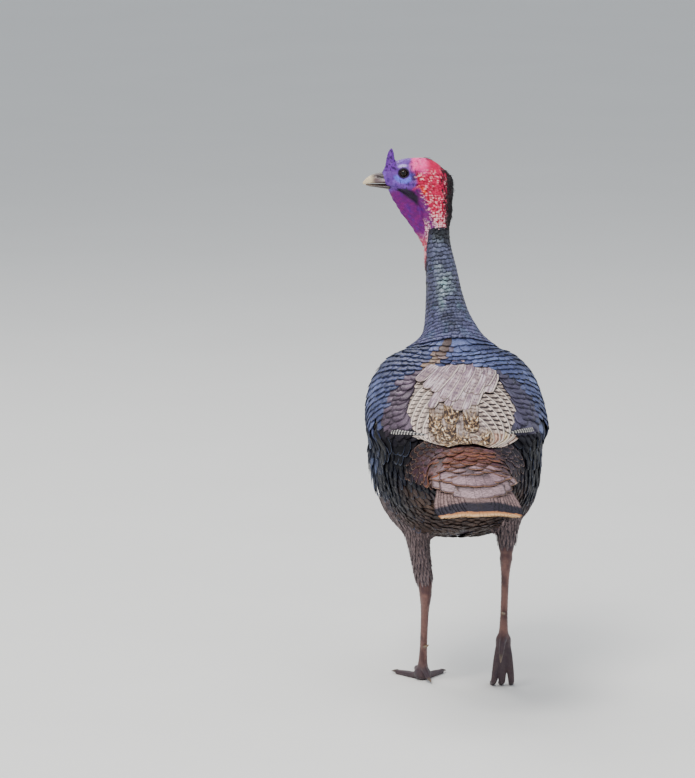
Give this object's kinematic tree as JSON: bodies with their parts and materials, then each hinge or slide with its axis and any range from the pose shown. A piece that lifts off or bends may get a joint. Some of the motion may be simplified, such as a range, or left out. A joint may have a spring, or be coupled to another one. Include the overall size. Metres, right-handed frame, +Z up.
{
  "type": "wild turkey",
  "caption": "Life-size standing male wild turkey in mid step, head turned to its left, wings folded and tail closed.",
  "frame": {"origin": "the middle of the bottom of the whole bird's box, on the floor that it stands on", "axes": "+Z up, -Y the way the body faces, +X the bird's left side, which is also where its bill points"},
  "size_m": [0.32, 0.7368, 0.9109],
  "materials": {
    "plumage_dark": "satin, iridescent blue-black",
    "plumage_wing": "matte, barred",
    "plumage_tail": "matte, barred with a pale tip",
    "plumage_leg": "matte",
    "bare_skin": "satin, warty",
    "leg_scale": "satin, scaled",
    "bill_horn": "semi-gloss horn",
    "claw_horn": "semi-gloss horn",
    "eye": "polished",
    "beard_bristle": "coarse bristle"
  },
  "bodies": {
    "root": {"trunk": "plumage_dark", "tail": "plumage_tail", "neck_lower": "plumage_dark", "neck_upper": "bare_skin", "head": "bare_skin", "bill_upper": "bill_horn", "bill_lower": "bill_horn", "snood": "bare_skin", "wattle": "bare_skin", "eye_l": "eye", "eye_r": "eye", "wing_l": "plumage_wing", "wing_r": "plumage_wing", "thigh_l": "plumage_leg", "thigh_r": "plumage_leg", "shank_l": "leg_scale", "shank_r": "leg_scale", "foot_l": "leg_scale", "foot_r": "leg_scale", "claw_l_inner": "claw_horn", "claw_l_middle": "claw_horn", "claw_l_outer": "claw_horn", "claw_l_hind": "claw_horn", "claw_r_inner": "claw_horn", "claw_r_middle": "claw_horn", "claw_r_outer": "claw_horn", "claw_r_hind": "claw_horn", "spur_l": "claw_horn", "spur_r": "claw_horn", "beard": "beard_bristle"}
  },
  "joints": []
}
